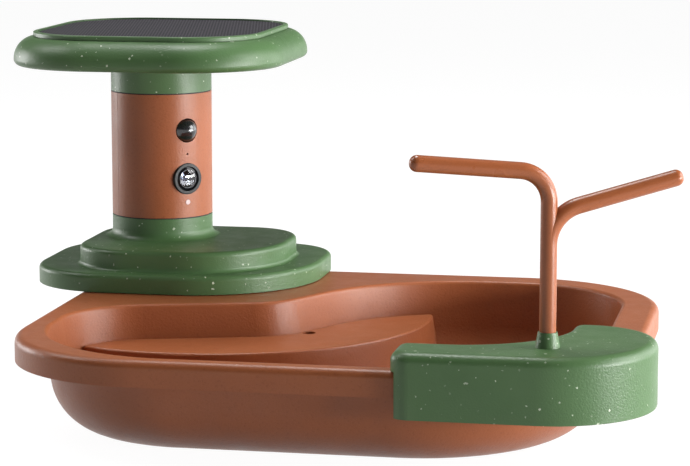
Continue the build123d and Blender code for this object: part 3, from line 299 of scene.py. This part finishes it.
def printed_board(name, color):
    """Lacquered board with copper tracks under the lacquer."""
    red, leaf, blue = color
    track = (red * 1.6 + 0.03, leaf * 1.6, blue * 1.4, 1)
    track_scale, track_width, upright = 260.0, 0.03, (radians(90), 0, radians(45))
    material, bsdf = shader(name, color, 0.35)
    inputs = {
        "Scale": track_scale,
        "Mortar Size": track_width,
        "Color1": (*color, 1),
        "Color2": (*color, 1),
        "Mortar": track,
    }
    tracks = add_node(material, "ShaderNodeTexBrick", inputs=inputs)
    link(material, places(material, turn=upright), tracks.inputs["Vector"])
    paint(material, bsdf, tracks.outputs["Color"])
    bump(material, bsdf, tracks.outputs["Fac"], 0.00005)
    return material


def masked_glass(name, node):
    """A clear coated window with a dark printed border round its middle."""
    border_start, border_full, wave_scale = 0.74, 0.78, 60
    material, bsdf = shader(name, window_clear, 0.02, IOR=1.5, Specular_IOR_Level=0.2)
    low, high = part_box(node)
    offset = add_node(material, "ShaderNodeVectorMath", operation="DISTANCE")
    link(material, places(material), offset.inputs[0])
    offset.inputs[1].default_value = [(a + b) / 2 for a, b in zip(low, high)]
    reach = (high[2] - low[2]) / 2
    away = offset.outputs["Value"]
    border = ramp(material, away, reach * border_start, reach * border_full)
    paint(material, bsdf, mix(material, border, window_clear, window_print))
    clear = maths(material, "SUBTRACT", 1.0, border)
    link(material, clear, bsdf.inputs["Transmission Weight"])
    bump(material, bsdf, noise(material, places(material), wave_scale, 1), 0.00001, 0.3)
    return material


def lens_dome(name):
    """Glossy black moulding with a fine honeycomb of lens facets."""
    facet_scale, unevenness, edge_width = 900.0, 0.15, 0.12
    material, bsdf = shader(name, dome, 0.12, Coat_Weight=0.8, Coat_Roughness=0.03)
    inputs = {"Scale": facet_scale, "Randomness": unevenness}
    kind = "ShaderNodeTexVoronoi"
    cells = add_node(material, kind, feature="DISTANCE_TO_EDGE", inputs=inputs)
    link(material, places(material), cells.inputs["Vector"])
    edge = ramp(material, cells.outputs["Distance"], 0.0, edge_width)
    paint(material, bsdf, mix(material, edge, dome_edge, dome_facet))
    bump(material, bsdf, edge, 0.00004, 0.5)
    return material


def coated_glass(name):
    """The camera's front element: dark glass with a blue coating and a glossy face."""
    tint_scale = 70
    material, bsdf = shader(
        name,
        coating,
        0.03,
        Coat_Weight=0.5,
        Coat_Roughness=0.0,
        Coat_Tint=(*coating_tint, 1),
        Specular_IOR_Level=0.5,
    )
    drift = ramp(material, noise(material, places(material), tint_scale, 0), 0.4, 0.6)
    paint(material, bsdf, mix(material, drift, coating_dark, coating_pale))
    return material


finishes = {
    "terracotta": terracotta("terracotta"),
    "green": flecked_green("flecked_green"),
    "black_rubber": moulded("black_rubber", (0.022, 0.022, 0.022), 0.7),
    "dark_plastic": moulded("dark_plastic", (0.03, 0.03, 0.03)),
    "steel": brushed("steel", (0.62, 0.62, 0.63)),
    "cell_wrap": moulded(
        "cell_wrap", (0.03, 0.12, 0.36), 0.25, 200, 0.00002, 0.15, Coat_Weight=0.5
    ),
    "board": printed_board("board", (0.012, 0.085, 0.035)),
    "gloss_black": moulded(
        "gloss_black", (0.014, 0.014, 0.016), 0.18, 700, 0.00001, 0.3, Coat_Weight=0.6
    ),
    "clear_glass": masked_glass("clear_glass", "lens_window"),
    "pale_light": moulded("pale_light", (0.62, 0.46, 0.45), 0.55, 400, 0.00002, 0.12),
    "copper_foil": brushed("copper_foil", (0.70, 0.36, 0.20)),
    "solar_cells": solar("solar_cells"),
}
by_node = {
    "perch": terracotta("terracotta_rod", 900, 0.00008, 0.26, 0.34),
    "pir_dome": lens_dome("sensor_dome"),
    "camera_element": coated_glass("coated_glass"),
    "lens_bezel": moulded(
        "bezel_grey", (0.026, 0.028, 0.028), 0.42, 700, 0.00002, Specular_IOR_Level=0.25
    ),
}
for part in frame["record"]["subparts"]:
    finish = by_node.get(part["node"], finishes[part["material_slot"]])
    mesh = nodes[part["node"]].data
    mesh.materials.clear()
    mesh.materials.append(finish)


# Studio: pale floor, backdrop, soft lamps and camera

floor_reach = 6
floor_tone = (0.55, 0.55, 0.55)
floor_seen_tone = (0.12, 0.12, 0.12)
floor_glow = 0.96
world_light = 0.04
ceiling_rise = (0.09, 0.16)
ceiling_tone = (0.10, 0.10, 0.10)


def seen_only(material, plain, bright):
    """Shows a plain bright colour to camera, glossy and transmission rays."""
    path = add_node(material, "ShaderNodeLightPath").outputs
    mirrored = maths(
        material, "MAXIMUM", path["Is Glossy Ray"], path["Is Transmission Ray"]
    )
    seen = maths(material, "MAXIMUM", path["Is Camera Ray"], mirrored)
    blend = add_node(material, "ShaderNodeMixShader")
    link(material, seen, blend.inputs["Fac"])
    link(material, plain, blend.inputs[1])
    link(material, bright, blend.inputs[2])
    return blend.outputs["Shader"]


def diffuse(material, color):
    """A plain diffuse shader."""
    made = add_node(material, "ShaderNodeBsdfDiffuse", inputs={"Color": (*color, 1)})
    return made.outputs["BSDF"]


corners = [(-1, -1), (1, -1), (1, 1), (-1, 1)]
floor_mesh = bpy.data.meshes.new("floor")
floor_places = [(x * floor_reach, y * floor_reach, 0) for x, y in corners]
floor_mesh.from_pydata(floor_places, [], [range(len(corners))])
floor = bpy.data.objects.new("floor", floor_mesh)
bpy.context.scene.collection.objects.link(floor)
floor_paint = bpy.data.materials.new("floor_paint")
floor_paint.use_nodes = True
floor_paint.node_tree.nodes.clear()
glow = add_node(
    floor_paint, "ShaderNodeEmission", inputs={"Color": (*white, 1), "Strength": floor_glow}
)
both = add_node(floor_paint, "ShaderNodeAddShader")
link(floor_paint, diffuse(floor_paint, floor_seen_tone), both.inputs[0])
link(floor_paint, glow.outputs["Emission"], both.inputs[1])
floor_out = add_node(floor_paint, "ShaderNodeOutputMaterial")
floor_face = seen_only(floor_paint, diffuse(floor_paint, floor_tone), both.outputs["Shader"])
link(floor_paint, floor_face, floor_out.inputs["Surface"])
floor_mesh.materials.append(floor_paint)

world = bpy.data.worlds.new("studio")
bpy.context.scene.world = world
world.use_nodes = True
world.node_tree.nodes.clear()
dim = add_node(
    world, "ShaderNodeBackground", inputs={"Color": (*white, 1), "Strength": world_light}
)
pale = add_node(world, "ShaderNodeBackground", inputs={"Strength": 1.0})
toward = add_node(world, "ShaderNodeTexCoord")
height = add_node(world, "ShaderNodeSeparateXYZ")
link(world, toward.outputs["Generated"], height.inputs["Vector"])
ceiling = ramp(world, height.outputs["Z"], *ceiling_rise)
link(world, mix(world, ceiling, white, ceiling_tone), pale.inputs["Color"])
world_out = add_node(world, "ShaderNodeOutputWorld")
world_face = seen_only(world, dim.outputs["Background"], pale.outputs["Background"])
link(world, world_face, world_out.inputs["Surface"])


# Name, place, height of the point it faces, width, height, power in watts
lamps = (
    ("key_right", (1.42, 0.22, 0.80), 0.12, 1.0, 0.8, 22),
    ("low_right", (1.50, 0.00, 0.15), 0.14, 1.0, 0.26, 15),
    ("low_front", (1.40, -0.50, 0.13), 0.12, 0.5, 0.24, 14),
    ("rim_right", (1.05, 1.15, 0.42), 0.12, 0.8, 0.8, 6),
    ("rim_left", (-1.35, 0.50, 0.30), 0.12, 0.5, 0.5, 7),
    ("high_left", (-1.15, 0.10, 1.30), 0.1, 0.6, 0.6, 8),
    ("top_soft", (-0.20, 0.40, 1.80), 0.1, 0.6, 0.6, 21),
)


def lamp(name, place, aim_height, width, height, power):
    """A soft rectangular lamp that faces a point above the part's origin."""
    data = bpy.data.lights.new(name, "AREA")
    data.shape = "RECTANGLE"
    data.size = width
    data.size_y = height
    data.energy = power
    made = bpy.data.objects.new(name, data)
    made.location = place
    direction = made.location - Vector((0, 0, aim_height))
    made.rotation_euler = direction.to_track_quat("Z", "Y").to_euler()
    bpy.context.scene.collection.objects.link(made)


for row in lamps:
    lamp(*row)

camera_place = (0.3117, -1.6102, 0.3695)
camera_down = radians(8.81)
camera_heading = radians(11)
level = radians(90)
lens_length, sensor_width = 135.65, 36

camera_data = bpy.data.cameras.new("camera")
camera_data.lens = lens_length
camera_data.sensor_width = sensor_width
camera = bpy.data.objects.new("camera", camera_data)
camera.location = camera_place
camera.rotation_euler = (level - camera_down, 0, camera_heading)
bpy.context.scene.collection.objects.link(camera)
bpy.context.scene.camera = camera
bpy.context.scene.view_settings.view_transform = "Standard"
